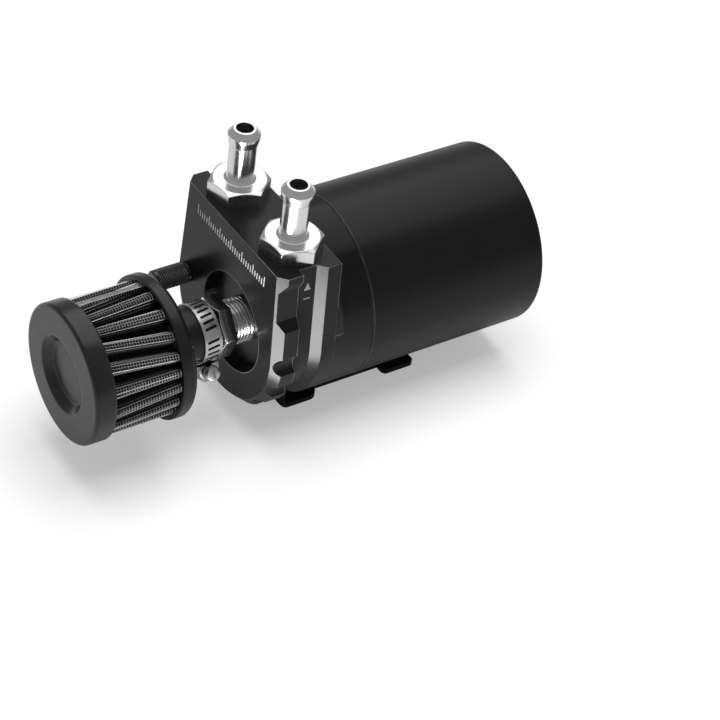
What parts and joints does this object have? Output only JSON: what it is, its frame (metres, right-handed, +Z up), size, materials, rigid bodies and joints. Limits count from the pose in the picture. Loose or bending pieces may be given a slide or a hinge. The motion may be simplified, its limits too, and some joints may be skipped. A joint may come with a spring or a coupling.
{
  "type": "oil catch can",
  "caption": "Round catch can with D-shaped ported head, two hose barbs, dipstick, clamped pleated breather filter on top and a bent mounting bracket.",
  "frame": {"origin": "centre of the reservoir's bottom face", "axes": "+Z up along the reservoir's axis towards the breather filter, +Y out of the back where the bracket is, -Y out of the flat with the two hose fittings, +X towards the dipstick"},
  "size_m": [0.07, 0.1085, 0.1848],
  "materials": {
    "black_anodised": "satin black anodised",
    "clear_anodised": "smooth turned, clear anodised",
    "bright_steel": "bright zinc-plated steel",
    "black_steel": "semi-gloss black coat on steel",
    "wire_gauze": "fine wire mesh over dark pleated filter cloth",
    "black_rubber": "matt moulded rubber"
  },
  "bodies": {
    "head": {"head": "black_anodised", "reservoir_seal": "black_rubber", "baffle_plate": "clear_anodised", "baffle_screws": "bright_steel", "inlet_fitting": "clear_anodised", "outlet_fitting": "clear_anodised", "inlet_seal": "black_rubber", "outlet_seal": "black_rubber", "breather_adaptor": "clear_anodised", "filter_base": "black_rubber", "filter_core": "bright_steel", "filter_gauze": "wire_gauze", "filter_cap": "black_rubber", "clamp_band": "bright_steel", "clamp_housing": "bright_steel", "bracket": "black_steel", "bracket_screws": "bright_steel"},
    "reservoir": {"reservoir": "black_anodised"},
    "dipstick": {"dipstick_knob": "black_anodised", "dipstick_rod": "bright_steel", "dipstick_seal": "black_rubber"},
    "worm_screw": {"clamp_screw": "bright_steel"}
  },
  "joints": [
    {"name": "reservoir_slide", "type": "slide", "parent": "head", "child": "reservoir", "axis": [0, 0, -1], "range_m": [0, 0.08]},
    {"name": "dipstick_slide", "type": "slide", "parent": "head", "child": "dipstick", "axis": [0, 0, 1], "range_m": [0, 0.106]},
    {"name": "worm_screw_turn", "type": "hinge", "parent": "head", "child": "worm_screw", "pos_m": [-0.01098, 0.01282, 0.13055], "axis": [-0.9063, -0.4226, 0], "continuous": true}
  ]
}
